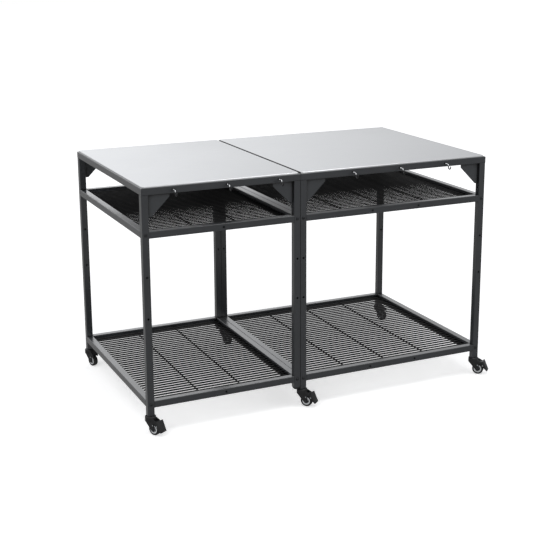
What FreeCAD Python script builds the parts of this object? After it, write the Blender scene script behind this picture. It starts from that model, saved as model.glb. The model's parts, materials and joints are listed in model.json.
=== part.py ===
"""Outdoor pizza oven table: two frame modules bolted side by side, with steel worktops, wire shelves and casters.

Millimetres, +Z up. Everything is first laid out from the front left corner of the frames, x to the right and
y to the back, and export() then moves it to the stored frame, whose origin is the middle of the footprint.
"""

import FreeCAD, Part
import math
import os

from FreeCAD import Vector

# Overall sizes
LEFT_WIDTH = 600.0
RIGHT_WIDTH = 800.0
DEPTH = 800.0
FRAME_TOP = 895.0
LEG_BOTTOM = 70.0

# The middle of the footprint counts the brake pedals and the hooks, which stand out on two sides only
PLAN_SHIFT_X = -18.0
PLAN_SHIFT_Y = 18.0

# Square tube of the frames
TUBE = 25.0
TUBE_WALL = 1.5
TUBE_CORNER = 2.0
CUT_MARGIN = 2.0

# Worktops: a folded sheet tray upside down on each top frame
SHEET = 1.5
LIP_HEIGHT = 5.0
WORKTOP_INSET = 4.0
WORKTOP_CORNER = 10.0

# Shelves, measured at the middle of their rails: the upper one from the top of the frame, the lower one
# from the ends of the legs
UPPER_SHELF_DROP = 165.0
LOWER_SHELF_RISE = 42.0
LEDGE_WIDTH = 15.0
LEDGE_THICKNESS = 3.0
LEDGE_END_GAP = 0.5

# Wire grilles lying on the ledges
WIRE_DIAMETER = 5.5
WIRE_PITCH = 22.0
WIRE_END_GAP = 1.0
WIRE_EDGE_MARGIN = 11.0
WIRE_SEAT_GAP = 0.1
LEFT_ROD_PITCH = 165.0
RIGHT_ROD_PITCH = 180.0
LEFT_INNER_RODS = 2
RIGHT_INNER_RODS = 3
END_ROD_INSET = 8.0

# Holes in the legs and the shelf rails
HOLE_DIAMETER = 8.0
SPARE_HOLES = 2
SPARE_HOLE_PITCH = 150.0
JOINING_HOLE_DROP = 122.0
LEFT_RAIL_HOLE = 300.0
RIGHT_RAIL_HOLE_START = 300.0
RIGHT_RAIL_HOLE_PITCH = 200.0

# Gussets under the top frames
GUSSET_SIZE = 80.0
GUSSET_TIP = 13.0
GUSSET_THICKNESS = 3.0

# Button-head bolts and the threaded inserts they screw into
BOLT_DIAMETER = 6.0
BOLT_HEAD_DIAMETER = 11.0
BOLT_HEAD_HEIGHT = 3.3
BOLT_CROWN_DIAMETER = 6.0
BOLT_BITE = 14.0
NUT_END_GAP = 2.0
NUT_WIDTH = 10.0
NUT_HEIGHT = 5.0
INSERT_LENGTH = 18.0
INSERT_FIT = 0.1
THREAD_GAP = 0.1

# Tool hooks screwed into the front rails of the top frames
HOOK_WIRE = 3.6
HOOK_PITCH = 200.0
HOOK_OFFSET = 15.0
HOOK_SHANK = 16.0
HOOK_BEND = 6.0
HOOK_BOWL = 8.0
HOOK_DROP = 3.0
HOOK_TIP = 2.5
HOOK_TAIL = 8.0
HOOK_FIT = 0.15
HOOKS_PER_MODULE = 3

# End caps of the two legs that carry no caster
CAP_HEIGHT = 10.0
CAP_ROUND = 8.0
CAP_PLUG = 14.0

# Swivel casters, in their own frame: swivel axis at 0, wheel trailing along +x, axle along y
WHEEL_RADIUS = 22.5
WHEEL_WIDTH = 18.0
TREAD_BEVEL = 2.0
TRAIL = 20.0
TYRE_BORE_RADIUS = 15.5
TYRE_FIT = 0.05
HUB_DISH_RADIUS = 11.5
HUB_WEB = 6.0
HUB_BOSS_RADIUS = 5.5
HUB_SIDE_GAP = 0.4
HUB_RIM_WIDTH = 17.0
AXLE_DIAMETER = 6.0
AXLE_RUNNING_GAP = 0.08
AXLE_HEAD_RADIUS = 4.5
AXLE_HEAD_HEIGHT = 1.2
FORK_WIDTH = 26.0
FORK_CHEEK = 2.8
FORK_BOSS_RADIUS = 8.0
FORK_TOP_GAP = 2.0
HEAD_DIAMETER = 40.0
HEAD_HEIGHT = 18.0
HEAD_CHAMFER = 2.0
HEAD_BORE_RADIUS = 8.0
HEAD_LIP = 4.5
HEAD_FLOOR = 3.0
CHEEK_LEAD = 15.5
CHEEK_REAR = 22.0
CHEEK_CUT = 100.0
EAR_TOP_START = 10.0
EAR_LOW_START = 11.0
EAR_LOW_DROP = 2.0
HOOD_RISE = 14.0
HOOD_SHOULDER = 20.0
HOOD_BACK = 38.0
HOOD_DROP = 8.0
HOOD_FRONT_DROP = 4.0
HOOD_WALL = 2.5

# Caster stems and the sockets pressed into the legs
STEM_DIAMETER = 8.0
STEM_FLANGE_RADIUS = 7.6
STEM_FLANGE_HEIGHT = 4.0
STEM_COLLAR_WIDTH = 19.0
STEM_LENGTH = 22.0
SWIVEL_GAP = 0.4
SOCKET_LENGTH = 25.0

# Brake pedals of the front casters
PIVOT_OUT = 30.0
PIVOT_RISE = 27.5
PIVOT_LOBE = 6.0
PIVOT_PIN_DIAMETER = 3.6
PIVOT_GAP = 0.1
PEDAL_HUB_RADIUS = 4.5
PEDAL_SIDE_GAP = 0.6
PEDAL_THICKNESS = 3.0
PEDAL_WIDTH = 32.0
PEDAL_WALL = 2.4
PEDAL_START_OUT = 7.0
PEDAL_START_RISE = 5.0
PEDAL_TOP_OUT = 13.5
PEDAL_TOP_RISE = 8.5
PEDAL_TIP_OUT = 30.5
PEDAL_TIP_DROP = 31.5
PEDAL_BEND_INSET = 2.2
PEDAL_WALL_FOOT_OUT = 21.0
PEDAL_WALL_FOOT_DROP = 25.0
PEDAL_WALL_NOSE_DROP = 12.0
PEDAL_ARM_ROOT = 2.7
PEDAL_ARM_SIDE = 3.6
SHOE_GAP = 0.4
SHOE_LEAN = 40.0
SHOE_ROOT = 8.0
SHOE_WIDTH = 3.0
BRAKE_TRAVEL = 14.0

UP = Vector(0, 0, 1)
BACK = Vector(0, 1, 0)
RIGHT = Vector(1, 0, 0)

TUBE_BORE = TUBE - 2 * TUBE_WALL
LEG_TOP = FRAME_TOP - TUBE
TOTAL_WIDTH = LEFT_WIDTH + RIGHT_WIDTH
PIVOT_Z = WHEEL_RADIUS + PIVOT_RISE
HEAD_TOP = LEG_BOTTOM - FORK_TOP_GAP
HEAD_BOTTOM = HEAD_TOP - HEAD_HEIGHT
UPPER_SHELF_Z = FRAME_TOP - UPPER_SHELF_DROP
LOWER_SHELF_Z = LEG_BOTTOM + LOWER_SHELF_RISE
JOINING_HOLE_Z = FRAME_TOP - JOINING_HOLE_DROP
SPARE_HOLE_Z = [UPPER_SHELF_Z - SPARE_HOLE_PITCH * (i + 1) for i in range(SPARE_HOLES)]

# Each module: where it starts and how wide it is
MODULES = {
    "left": (0.0, LEFT_WIDTH),
    "right": (LEFT_WIDTH, RIGHT_WIDTH),
}
SHELVES = {"upper": UPPER_SHELF_Z, "lower": LOWER_SHELF_Z}

# Each caster: its place in plan, the turn of its trail from +x towards the front, and whether it has a brake
LEG_CENTRE = TUBE / 2
CASTERS = {
    "left_front": (LEG_CENTRE, LEG_CENTRE, 60.0, True),
    "left_back": (LEG_CENTRE, DEPTH - LEG_CENTRE, 70.0, False),
    "middle_front": (LEFT_WIDTH + LEG_CENTRE, LEG_CENTRE, 48.0, True),
    "middle_back": (LEFT_WIDTH + LEG_CENTRE, DEPTH - LEG_CENTRE, 68.0, False),
    "right_front": (TOTAL_WIDTH - LEG_CENTRE, LEG_CENTRE, 45.0, True),
    "right_back": (TOTAL_WIDTH - LEG_CENTRE, DEPTH - LEG_CENTRE, 66.0, False),
}


def export(node, solids):
    """Write one node's solids, moved from the front left corner to the stored frame."""
    shape = Part.makeCompound(solids)
    shape.translate(Vector(PLAN_SHIFT_X - TOTAL_WIDTH / 2, PLAN_SHIFT_Y - DEPTH / 2, 0))
    shape.exportStep(f"parts/{node}.step")


def moved(shape, x, y, z):
    """A copy of the shape shifted by x, y, z."""
    copy = shape.copy()
    copy.translate(Vector(x, y, z))
    return copy


def block(x0, x1, y0, y1, z0, z1):
    """A box between two corners."""
    return Part.makeBox(x1 - x0, y1 - y0, z1 - z0, Vector(x0, y0, z0))


def rounded_square(width, radius):
    """A wire around a square with rounded corners, centred on the origin in the xy plane."""
    half = width / 2
    flat = half - radius
    diagonal = flat + radius * math.sqrt(0.5)
    edges = []
    for quarter in range(4):
        turn = FreeCAD.Rotation(UP, 90 * quarter)
        side = (turn.multVec(Vector(half, -flat, 0)), turn.multVec(Vector(half, flat, 0)))
        middle = turn.multVec(Vector(diagonal, diagonal, 0))
        end = turn.multVec(Vector(flat, half, 0))
        edges.append(Part.LineSegment(*side).toShape())
        edges.append(Part.Arc(side[1], middle, end).toShape())
    return Part.Wire(edges)


def square_tube(length, axis):
    """A length of square tube from the origin along an axis, open at both ends."""
    skin = Part.Face(rounded_square(TUBE, TUBE_CORNER))
    bore = Part.makePlane(TUBE_BORE, TUBE_BORE, Vector(-TUBE_BORE / 2, -TUBE_BORE / 2, 0))
    tube = skin.cut(bore).Faces[0].extrude(Vector(0, 0, length))
    tube.Placement = FreeCAD.Placement(Vector(0, 0, 0), FreeCAD.Rotation(UP, axis))
    return tube


def prism(points, axis, start, thickness):
    """A plate with a straight-sided outline, from start along an axis, x or y or z, over its thickness.

    The outline's points hold the two other coordinates in the order of the axes.
    """
    places = {
        "x": lambda a, b: Vector(start, a, b),
        "y": lambda a, b: Vector(a, start, b),
        "z": lambda a, b: Vector(a, b, start),
    }
    corners = [places[axis](a, b) for a, b in points]
    face = Part.Face(Part.makePolygon(corners + corners[:1]))
    direction = {"x": RIGHT, "y": BACK, "z": UP}[axis]
    return face.extrude(direction * thickness)


def octagon(a, b, width):
    """The outline of a thin wire or pin drawn with eight sides, this wide across its flats, round a middle."""
    radius = width / 2 / math.cos(math.pi / 8)
    angles = [math.pi / 8 + math.pi / 4 * i for i in range(8)]
    return [(a + radius * math.cos(angle), b + radius * math.sin(angle)) for angle in angles]


def across(radius, x, z, half_width):
    """A round bar along y, centred on y = 0."""
    return Part.makeCylinder(radius, 2 * half_width, Vector(x, -half_width, z), BACK)


def one_solid(shape):
    """The single solid of a boolean result, with its seams merged."""
    return shape.removeSplitter().Solids[0]


def worktop(start, width):
    """A thin tray upside down: top sheet and short lips, with rounded corners in plan."""

    def plan(inset, radius, z, height):
        slab = block(start + inset, start + width - inset, inset, DEPTH - inset, z, z + height)
        upright = [e for e in slab.Edges if abs(e.tangentAt(e.FirstParameter).z) > 0.5]
        return slab.makeFillet(radius, upright)

    tray = plan(WORKTOP_INSET, WORKTOP_CORNER, FRAME_TOP, LIP_HEIGHT)
    inside = plan(WORKTOP_INSET + SHEET, WORKTOP_CORNER - SHEET, FRAME_TOP - CUT_MARGIN,
                  LIP_HEIGHT - SHEET + CUT_MARGIN)
    return one_solid(tray.cut(inside))


def top_frame(start, width):
    """Four mitred rails; the front one is bored for the tool hooks."""
    z = FRAME_TOP - TUBE / 2
    end = start + width
    corners = [(start, 0), (end, 0), (end, DEPTH), (start, DEPTH)]
    inner = [(start + TUBE, TUBE), (end - TUBE, TUBE), (end - TUBE, DEPTH - TUBE), (start + TUBE, DEPTH - TUBE)]
    bars = [
        moved(square_tube(width, RIGHT), start, TUBE / 2, z),
        moved(square_tube(DEPTH, BACK), end - TUBE / 2, 0, z),
        moved(square_tube(width, RIGHT), start, DEPTH - TUBE / 2, z),
        moved(square_tube(DEPTH, BACK), start + TUBE / 2, 0, z),
    ]
    rails = []
    for i, bar in enumerate(bars):
        after = (i + 1) % 4
        outline = [corners[i], corners[after], inner[after], inner[i]]
        rails.append(bar.common(prism(outline, "z", LEG_TOP, TUBE)).Solids[0])
    for x in hook_places(start, width):
        bore = Part.makeCylinder(HOOK_WIRE / 2 + HOOK_FIT, TUBE / 2, Vector(x, -CUT_MARGIN, z), BACK)
        rails[0] = rails[0].cut(bore)
    return [rail.Solids[0] for rail in rails]


def hook_places(start, width):
    """The hooks' x places: evenly pitched, the middle one a little to the right of the module's middle."""
    first = start + width / 2 + HOOK_OFFSET - HOOK_PITCH * (HOOKS_PER_MODULE - 1) / 2
    return [first + HOOK_PITCH * i for i in range(HOOKS_PER_MODULE)]


def leg(x, y, inner_side, bottom):
    """An upright with holes front and back for the shelves, and one towards the module's inside.

    inner_side is +1 where the module's inside lies to the right of the leg, and -1 to its left.
    """
    post = moved(square_tube(LEG_TOP - bottom, UP), x, y, bottom)
    radius = HOLE_DIAMETER / 2
    for z in (UPPER_SHELF_Z, LOWER_SHELF_Z, *SPARE_HOLE_Z):
        post = post.cut(Part.makeCylinder(radius, 2 * TUBE, Vector(x, y - TUBE, z), BACK))
    side = Vector(inner_side, 0, 0)
    post = post.cut(Part.makeCylinder(radius, TUBE, Vector(x, y, JOINING_HOLE_Z), side))
    return post.Solids[0]


def seam_hole(post, x, y, outer_side):
    """The joining hole carried on through the leg's outer wall, where the other module stands against it."""
    side = Vector(outer_side, 0, 0)
    hole = Part.makeCylinder(HOLE_DIAMETER / 2, TUBE, Vector(x, y, JOINING_HOLE_Z), side)
    return post.cut(hole).Solids[0]


def legs():
    """All eight legs, by node name."""
    posts = {}
    for module, (start, width) in MODULES.items():
        for row, y in (("front", LEG_CENTRE), ("back", DEPTH - LEG_CENTRE)):
            for side, x, inner in (("left", start + LEG_CENTRE, 1), ("right", start + width - LEG_CENTRE, -1)):
                at_seam = module != side
                capped = module == "left" and side == "right"
                bottom = LEG_BOTTOM + CAP_HEIGHT if capped else LEG_BOTTOM
                post = leg(x, y, inner, bottom)
                if at_seam:
                    post = seam_hole(post, x, y, -inner)
                posts[f"{module}_leg_{row}_{side}"] = post
    return posts


def gussets(start, width):
    """Four corner plates under the top frame, set on the tubes' middle at the front and the back."""
    plates = []
    low = LEG_TOP - GUSSET_SIZE
    for y in (LEG_CENTRE, DEPTH - LEG_CENTRE):
        for corner, inward in ((start + TUBE, 1), (start + width - TUBE, -1)):
            outline = [
                (corner, LEG_TOP),
                (corner + inward * GUSSET_SIZE, LEG_TOP),
                (corner + inward * GUSSET_SIZE, LEG_TOP - GUSSET_TIP),
                (corner + inward * GUSSET_TIP, low),
                (corner, low),
            ]
            plates.append(prism(outline, "y", y - GUSSET_THICKNESS / 2, GUSSET_THICKNESS))
    return plates


def shelf_frame(start, width, z, rail_holes):
    """Two long rails and two side rails between the legs, with a ledge for the grille along each side rail."""
    end = start + width
    rails = []
    for y in (LEG_CENTRE, DEPTH - LEG_CENTRE):
        rail = moved(square_tube(width - 2 * TUBE, RIGHT), start + TUBE, y, z)
        if y < DEPTH / 2:
            for x in rail_holes:
                rail = rail.cut(Part.makeCylinder(HOLE_DIAMETER / 2, TUBE / 2, Vector(x, -CUT_MARGIN, z), BACK))
        rails.append(rail.Solids[0])
    for x, inward in ((start + LEG_CENTRE, 1), (end - LEG_CENTRE, -1)):
        rails.append(moved(square_tube(DEPTH - 2 * TUBE, BACK), x, TUBE, z))
        wall = x + inward * TUBE / 2
        reach = sorted((wall, wall + inward * LEDGE_WIDTH))
        low = z - TUBE / 2
        rails.append(block(*reach, TUBE + LEDGE_END_GAP, DEPTH - TUBE - LEDGE_END_GAP, low, low + LEDGE_THICKNESS))
    return rails


def grille(start, width, z, rod_pitch, inner_rods):
    """Wires from side to side, welded on rods that run front to back; the end rods lie on the ledges."""
    rod_z = z - TUBE / 2 + LEDGE_THICKNESS + WIRE_SEAT_GAP + WIRE_DIAMETER / 2
    wire_z = rod_z + WIRE_DIAMETER + WIRE_SEAT_GAP
    wire_length = width - 2 * (TUBE + WIRE_END_GAP)
    room = DEPTH - 2 * (TUBE + WIRE_EDGE_MARGIN)
    gaps = math.floor(room / WIRE_PITCH)
    first = DEPTH / 2 - gaps * WIRE_PITCH / 2
    wires = []
    for i in range(gaps + 1):
        outline = octagon(first + i * WIRE_PITCH, wire_z, WIRE_DIAMETER)
        wires.append(prism(outline, "x", start + TUBE + WIRE_END_GAP, wire_length))
    end_rod = width / 2 - TUBE - END_ROD_INSET
    offsets = [(i - (inner_rods - 1) / 2) * rod_pitch for i in range(inner_rods)]
    rod_length = DEPTH - 2 * (TUBE + WIRE_END_GAP)
    for offset in (-end_rod, *offsets, end_rod):
        outline = octagon(start + width / 2 + offset, rod_z, WIRE_DIAMETER)
        wires.append(prism(outline, "y", TUBE + WIRE_END_GAP, rod_length))
    return wires


def bolt(length):
    """A button-head bolt, its head above z = 0 and its shank below."""
    head = turned([
        (0, 0),
        (BOLT_HEAD_DIAMETER / 2, 0),
        (BOLT_CROWN_DIAMETER / 2, BOLT_HEAD_HEIGHT),
        (0, BOLT_HEAD_HEIGHT),
    ])
    shank = prism(octagon(0, 0, BOLT_DIAMETER * math.cos(math.pi / 8)), "z", -length, length)
    return one_solid(head.fuse(shank))


def hexagon(across_flats, z, height):
    """A hexagonal bar on the z axis."""
    radius = across_flats / math.sqrt(3)
    corners = [(radius * math.cos(math.radians(60 * i)), radius * math.sin(math.radians(60 * i))) for i in range(6)]
    return prism(corners, "z", z, height)


def pointed(shape, axis):
    """A shape made on the z axis, turned so that +z points along another axis."""
    turned = shape.copy()
    turned.Placement = FreeCAD.Placement(Vector(0, 0, 0), FreeCAD.Rotation(UP, axis))
    return turned


def shelf_fasteners():
    """The bolts through the legs into the side rails, and the threaded inserts in those rails' ends."""
    shank = TUBE + BOLT_BITE
    width = TUBE_BORE - 2 * INSERT_FIT
    plug = block(-width / 2, width / 2, -width / 2, width / 2, 0, INSERT_LENGTH)
    plug = plug.cut(prism(octagon(0, 0, BOLT_DIAMETER + 2 * THREAD_GAP), "z", 0, INSERT_LENGTH)).Solids[0]
    bolts = []
    inserts = []
    for start, width_of_module in MODULES.values():
        for x in (start + LEG_CENTRE, start + width_of_module - LEG_CENTRE):
            for z in SHELVES.values():
                for face, seat, outward in ((0, TUBE, -1), (DEPTH, DEPTH - TUBE, 1)):
                    direction = Vector(0, outward, 0)
                    bolts.append(moved(pointed(bolt(shank), direction), x, face, z))
                    inserts.append(moved(pointed(plug, -direction), x, seat, z))
    return bolts, inserts


def joining_bolts():
    """A bolt and nut through each pair of legs where the two modules meet."""
    pieces = []
    nut = hexagon(NUT_WIDTH, 0, NUT_HEIGHT)
    nut = nut.cut(Part.makeCylinder(BOLT_DIAMETER / 2 + THREAD_GAP, NUT_HEIGHT)).Solids[0]
    for y in (LEG_CENTRE, DEPTH - LEG_CENTRE):
        through = bolt(2 * TUBE + NUT_HEIGHT + NUT_END_GAP)
        pieces.append(moved(pointed(through, -RIGHT), LEFT_WIDTH - TUBE, y, JOINING_HOLE_Z))
        pieces.append(moved(pointed(nut, RIGHT), LEFT_WIDTH + TUBE, y, JOINING_HOLE_Z))
    return pieces


def tool_hook():
    """A wire hook: a shank out of the rail, a bend down, a round bowl and a short upright tip.

    The rail's face is y = 0 and the hook reaches to the front, towards -y.
    """
    half = math.sqrt(0.5)
    drop = -HOOK_BEND - HOOK_DROP
    bowl_back = -HOOK_SHANK - HOOK_BEND
    bowl_middle = bowl_back - HOOK_BOWL
    bowl_front = bowl_back - 2 * HOOK_BOWL
    spine = Part.Wire([
        Part.LineSegment(Vector(0, HOOK_TAIL, 0), Vector(0, -HOOK_SHANK, 0)).toShape(),
        Part.Arc(Vector(0, -HOOK_SHANK, 0),
                 Vector(0, -HOOK_SHANK - HOOK_BEND * half, -HOOK_BEND * (1 - half)),
                 Vector(0, bowl_back, -HOOK_BEND)).toShape(),
        Part.LineSegment(Vector(0, bowl_back, -HOOK_BEND), Vector(0, bowl_back, drop)).toShape(),
        Part.Arc(Vector(0, bowl_back, drop), Vector(0, bowl_middle, drop - HOOK_BOWL),
                 Vector(0, bowl_front, drop)).toShape(),
        Part.LineSegment(Vector(0, bowl_front, drop), Vector(0, bowl_front, drop + HOOK_TIP)).toShape(),
    ])
    corners = [Vector(x, HOOK_TAIL, z) for x, z in octagon(0, 0, HOOK_WIRE * math.cos(math.pi / 8))]
    section = Part.makePolygon(corners + corners[:1])
    return spine.makePipeShell([section], True, False).Solids[0]


def end_cap():
    """A moulded cap, rounded below, with a plug that grips the leg's bore; the leg ends at z = 0."""
    half = TUBE / 2
    knob = block(-half, half, -half, half, -CAP_HEIGHT, 0)
    low = [e for e in knob.Edges if min(v.Z for v in e.Vertexes) < -CAP_HEIGHT / 2]
    knob = knob.makeFillet(CAP_ROUND, low)
    grip = TUBE_BORE / 2 - INSERT_FIT
    return one_solid(knob.fuse(block(-grip, grip, -grip, grip, 0, CAP_PLUG)))


def caster_socket():
    """The block pressed into a leg, bored for the caster's stem; the leg ends at z = 0."""
    grip = TUBE_BORE / 2 - INSERT_FIT
    plug = block(-grip, grip, -grip, grip, 0, SOCKET_LENGTH)
    return plug.cut(Part.makeCylinder(STEM_DIAMETER / 2 + THREAD_GAP, SOCKET_LENGTH)).Solids[0]


def turned(points):
    """A solid of revolution about the z axis from an outline of radius and height."""
    corners = [Vector(r, 0, z) for r, z in points]
    face = Part.Face(Part.makePolygon(corners + corners[:1]))
    return face.revolve(Vector(0, 0, 0), UP, 360)


def caster_stem():
    """The fixed stem: a flange that the fork hangs and turns on, a hexagon under the leg and the screwed end."""
    radius = STEM_DIAMETER / 2
    flange_top = HEAD_TOP - HEAD_LIP - SWIVEL_GAP
    collar = HEAD_TOP + SWIVEL_GAP
    neck = turned([
        (0, flange_top - STEM_FLANGE_HEIGHT),
        (STEM_FLANGE_RADIUS, flange_top - STEM_FLANGE_HEIGHT),
        (STEM_FLANGE_RADIUS, flange_top),
        (radius, flange_top),
        (radius, collar),
        (0, collar),
    ])
    flats = hexagon(STEM_COLLAR_WIDTH, collar, LEG_BOTTOM - collar)
    screw = prism(octagon(0, 0, STEM_DIAMETER * math.cos(math.pi / 8)), "z", LEG_BOTTOM, STEM_LENGTH)
    return one_solid(neck.fuse(flats).fuse(screw))


def tangent_point(x, z, centre_x, centre_z, radius, side):
    """Where the line from a point touches a circle, on its left (side -1) or right (side +1) seen along the line."""
    away = math.hypot(centre_x - x, centre_z - z)
    towards = math.atan2(centre_z - z, centre_x - x)
    angle = towards - side * math.asin(radius / away)
    reach = math.sqrt(away * away - radius * radius)
    return (x + reach * math.cos(angle), z + reach * math.sin(angle))


def fork_cheeks():
    """The tapering side plates from the swivel head down to the axle, as one full-width blade."""
    half = FORK_WIDTH / 2
    lead = tangent_point(-CHEEK_LEAD, HEAD_BOTTOM, TRAIL, WHEEL_RADIUS, FORK_BOSS_RADIUS, 1)
    rear = tangent_point(CHEEK_REAR, HEAD_BOTTOM, TRAIL, WHEEL_RADIUS, FORK_BOSS_RADIUS, -1)
    outline = [(-CHEEK_LEAD, HEAD_BOTTOM), lead, (TRAIL, WHEEL_RADIUS), rear, (CHEEK_REAR, HEAD_BOTTOM)]
    blade = prism(outline, "y", -half, FORK_WIDTH)
    return blade.fuse(across(FORK_BOSS_RADIUS, TRAIL, WHEEL_RADIUS, half))


def brake_lobe():
    """The ears that carry the brake pedal's pin, as one full-width blade."""
    half = FORK_WIDTH / 2
    high = (EAR_TOP_START, HEAD_TOP - HEAD_CHAMFER)
    low = (EAR_LOW_START, HEAD_BOTTOM - EAR_LOW_DROP)
    top = tangent_point(*high, PIVOT_OUT, PIVOT_Z, PIVOT_LOBE, -1)
    bottom = tangent_point(*low, PIVOT_OUT, PIVOT_Z, PIVOT_LOBE, 1)
    outline = [low, bottom, (PIVOT_OUT, PIVOT_Z), top, high]
    return prism(outline, "y", -half, FORK_WIDTH).fuse(across(PIVOT_LOBE, PIVOT_OUT, PIVOT_Z, half))


def hood(inset, half_width, overcut):
    """The guard over the rear of the wheel on the casters without a brake; inset gives its inner side."""
    crown = HEAD_BOTTOM + HOOD_RISE - inset
    low = HEAD_BOTTOM - HOOD_DROP - overcut
    outline = [
        (0, HEAD_BOTTOM - HOOD_FRONT_DROP),
        (0, crown),
        (HOOD_SHOULDER - inset, crown),
        (HOOD_BACK - inset, HEAD_BOTTOM - inset),
        (HOOD_BACK - inset, low),
        (CHEEK_REAR, low),
    ]
    return prism(outline, "y", -half_width, 2 * half_width)


def fork(braked):
    """The swivel fork: round head, two cheeks beside the wheel, and ears or a hood behind."""
    head = Part.makeCylinder(HEAD_DIAMETER / 2, HEAD_HEIGHT, Vector(0, 0, HEAD_BOTTOM))
    rim = [e for e in head.Edges if e.Curve.TypeId == "Part::GeomCircle"]
    head = head.makeChamfer(HEAD_CHAMFER, [max(rim, key=lambda e: e.CenterOfMass.z)])
    slot = FORK_WIDTH / 2 - FORK_CHEEK
    wheel_space = block(-CHEEK_CUT, CHEEK_CUT, -slot, slot, 0, HEAD_BOTTOM)
    body = fork_cheeks()
    if braked:
        ears = brake_lobe()
        reach = block(HEAD_DIAMETER / 2, CHEEK_CUT, -slot, slot, 0, LEG_BOTTOM)
        body = body.fuse(ears).cut(wheel_space)
        body = body.fuse(head).cut(reach)
        body = body.cut(across(PIVOT_PIN_DIAMETER / 2 + PIVOT_GAP, PIVOT_OUT, PIVOT_Z, FORK_WIDTH))
    else:
        body = body.fuse(hood(0, FORK_WIDTH / 2, 0)).cut(wheel_space)
        body = body.cut(hood(HOOD_WALL, slot, CUT_MARGIN)).fuse(head)
    body = body.cut(across(AXLE_DIAMETER / 2 + AXLE_RUNNING_GAP, TRAIL, WHEEL_RADIUS, FORK_WIDTH))
    cavity = turned([
        (0, HEAD_BOTTOM + HEAD_FLOOR),
        (HEAD_BORE_RADIUS, HEAD_BOTTOM + HEAD_FLOOR),
        (HEAD_BORE_RADIUS, HEAD_TOP - HEAD_LIP),
        (STEM_DIAMETER / 2 + SWIVEL_GAP, HEAD_TOP - HEAD_LIP),
        (STEM_DIAMETER / 2 + SWIVEL_GAP, HEAD_TOP + CUT_MARGIN),
        (0, HEAD_TOP + CUT_MARGIN),
    ])
    return one_solid(body.cut(cavity))


def headed_pin(diameter, head_radius):
    """A riveted pin through both cheeks, centred on the origin along y."""
    half = FORK_WIDTH / 2
    pin = across(diameter / 2, 0, 0, half + AXLE_HEAD_HEIGHT)
    for y in (-half - AXLE_HEAD_HEIGHT, half):
        pin = pin.fuse(Part.makeCylinder(head_radius, AXLE_HEAD_HEIGHT, Vector(0, y, 0), BACK))
    return one_solid(pin)


def tyre():
    """The tread ring with bevelled shoulders, centred on the axle."""
    ring = across(WHEEL_RADIUS, 0, 0, WHEEL_WIDTH / 2)
    shoulders = [e for e in ring.Edges if e.Curve.TypeId == "Part::GeomCircle"]
    ring = ring.makeChamfer(TREAD_BEVEL, shoulders)
    return one_solid(ring.cut(across(TYRE_BORE_RADIUS, 0, 0, WHEEL_WIDTH)))


def hub():
    """The wheel centre: a rim under the tyre, a thin dished web and a long boss on the axle."""
    boss = FORK_WIDTH / 2 - FORK_CHEEK - HUB_SIDE_GAP
    rim = HUB_RIM_WIDTH / 2
    outer = TYRE_BORE_RADIUS - TYRE_FIT
    bore = AXLE_DIAMETER / 2 + AXLE_RUNNING_GAP
    wheel = turned([
        (bore, -boss),
        (HUB_BOSS_RADIUS, -boss),
        (HUB_BOSS_RADIUS, -HUB_WEB / 2),
        (HUB_DISH_RADIUS, -HUB_WEB / 2),
        (HUB_DISH_RADIUS, -rim),
        (outer, -rim),
        (outer, rim),
        (HUB_DISH_RADIUS, rim),
        (HUB_DISH_RADIUS, HUB_WEB / 2),
        (HUB_BOSS_RADIUS, HUB_WEB / 2),
        (HUB_BOSS_RADIUS, boss),
        (bore, boss),
    ])
    return pointed(wheel, BACK)


def brake_pedal():
    """The foot lever: a hub on its pin, a bent plate with side walls, and a shoe that turns onto the tyre."""
    inner = FORK_WIDTH / 2 - FORK_CHEEK - PEDAL_SIDE_GAP
    half = PEDAL_WIDTH / 2
    start = (PIVOT_OUT + PEDAL_START_OUT, PIVOT_Z + PEDAL_START_RISE)
    top = (PIVOT_OUT + PEDAL_TOP_OUT, PIVOT_Z + PEDAL_TOP_RISE)
    tip = (PIVOT_OUT + PEDAL_TIP_OUT, PIVOT_Z - PEDAL_TIP_DROP)
    plate = prism([
        start,
        top,
        tip,
        (tip[0] - PEDAL_THICKNESS, tip[1]),
        (top[0] - PEDAL_BEND_INSET, top[1] - PEDAL_THICKNESS),
        (start[0], start[1] - PEDAL_THICKNESS),
    ], "y", -half, PEDAL_WIDTH)
    walls = prism([
        start,
        top,
        tip,
        (tip[0] - PEDAL_THICKNESS, tip[1]),
        (PIVOT_OUT + PEDAL_WALL_FOOT_OUT, PIVOT_Z - PEDAL_WALL_FOOT_DROP),
        (start[0], PIVOT_Z - PEDAL_WALL_NOSE_DROP),
    ], "y", -half, PEDAL_WIDTH)
    hollow = block(-CHEEK_CUT, CHEEK_CUT, PEDAL_WALL - half, half - PEDAL_WALL, 0, LEG_BOTTOM)
    tread = plate.fuse(walls.cut(hollow))
    arm = prism([
        (PIVOT_OUT - PEDAL_ARM_ROOT, PIVOT_Z + PEDAL_ARM_ROOT),
        start,
        (start[0] + PEDAL_THICKNESS, start[1] - PEDAL_THICKNESS),
        (PIVOT_OUT + PEDAL_ARM_SIDE, PIVOT_Z),
    ], "y", -inner, 2 * inner)
    boss = across(PEDAL_HUB_RADIUS, PIVOT_OUT, PIVOT_Z, inner)
    body = tread.fuse(arm).fuse(boss).fuse(shoe(inner))
    return one_solid(body.cut(across(PIVOT_PIN_DIAMETER / 2 + PIVOT_GAP, PIVOT_OUT, PIVOT_Z, FORK_WIDTH)))


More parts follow.
